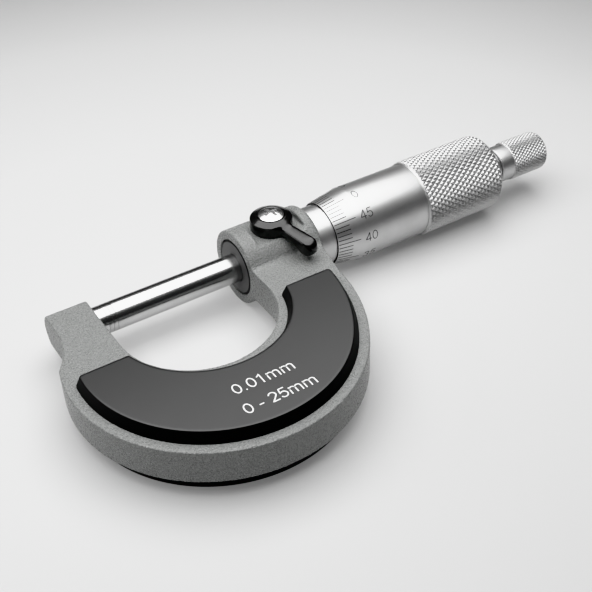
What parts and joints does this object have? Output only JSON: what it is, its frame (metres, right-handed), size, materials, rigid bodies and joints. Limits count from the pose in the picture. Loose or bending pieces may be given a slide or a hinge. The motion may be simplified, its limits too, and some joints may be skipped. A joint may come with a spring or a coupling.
{
  "type": "outside micrometer",
  "caption": "Outside micrometer with a U-shaped frame, screw-fed spindle, graduated thimble and sleeve, ratchet stop and lever lock.",
  "frame": {"origin": "centre of the anvil's measuring face, on the spindle's axis", "axes": "+X along the spindle towards the ratchet, +Z out of the front cover plate, -Y down into the bow"},
  "size_m": [0.1347, 0.0622, 0.0201],
  "materials": {
    "frame_paint": "hammered grey enamel on cast iron",
    "plate_plastic": "semi-gloss charcoal insulating plate",
    "ground_steel": "ground and polished",
    "carbide": "lapped carbide",
    "dark_steel": "turned and blackened",
    "brass": "turned",
    "satin_chrome": "satin chrome",
    "spring_steel": "drawn wire",
    "bright_screw": "bright nickel",
    "lever_black": "gloss black enamel"
  },
  "bodies": {
    "frame": {"frame": "frame_paint", "anvil": "ground_steel", "anvil_tip": "carbide", "front_plate": "plate_plastic", "rear_plate": "plate_plastic", "inner_sleeve": "dark_steel", "adjusting_nut": "brass"},
    "sleeve": {"outer_sleeve": "satin_chrome"},
    "feed": {"thimble_washer": "ground_steel"},
    "thimble": {"thimble": "satin_chrome", "spindle": "ground_steel", "spindle_tip": "carbide", "ratchet_base": "satin_chrome", "ratchet_screw": "bright_screw"},
    "ratchet": {"ratchet_knob": "satin_chrome", "ratchet_clutch": "dark_steel", "ratchet_spring": "spring_steel"},
    "lock": {"lock_lever": "lever_black", "lock_screw": "bright_screw", "lock_stud": "dark_steel"},
    "plug": {"lock_plug": "brass"}
  },
  "joints": [
    {"name": "sleeve_zero", "type": "hinge", "parent": "frame", "child": "sleeve", "pos_m": [0.06, 0, 0], "axis": [1, 0, 0], "range_deg": [-10, 10]},
    {"name": "spindle_feed", "type": "slide", "parent": "frame", "child": "feed", "axis": [1, 0, 0], "range_m": [0, 0.025]},
    {"name": "thimble_turn", "type": "hinge", "parent": "feed", "child": "thimble", "pos_m": [0.06, 0, 0], "axis": [1, 0, 0], "range_deg": [0, 18000]},
    {"name": "ratchet_slip", "type": "hinge", "parent": "thimble", "child": "ratchet", "pos_m": [0.11, 0, 0], "axis": [1, 0, 0], "continuous": true},
    {"name": "lock_turn", "type": "hinge", "parent": "frame", "child": "lock", "pos_m": [0.0401, 0, 0.0085], "axis": [0, 0, 1], "range_deg": [-35, 0]},
    {"name": "plug_press", "type": "slide", "parent": "frame", "child": "plug", "axis": [0, 0, -1], "range_m": [0, 0.00008]}
  ],
  "couplings": [
    {"joint": "thimble_turn", "follows": "spindle_feed", "rad_per_m": 12566},
    {"joint": "lock_turn", "follows": "plug_press", "rad_per_m": -7635.8}
  ]
}
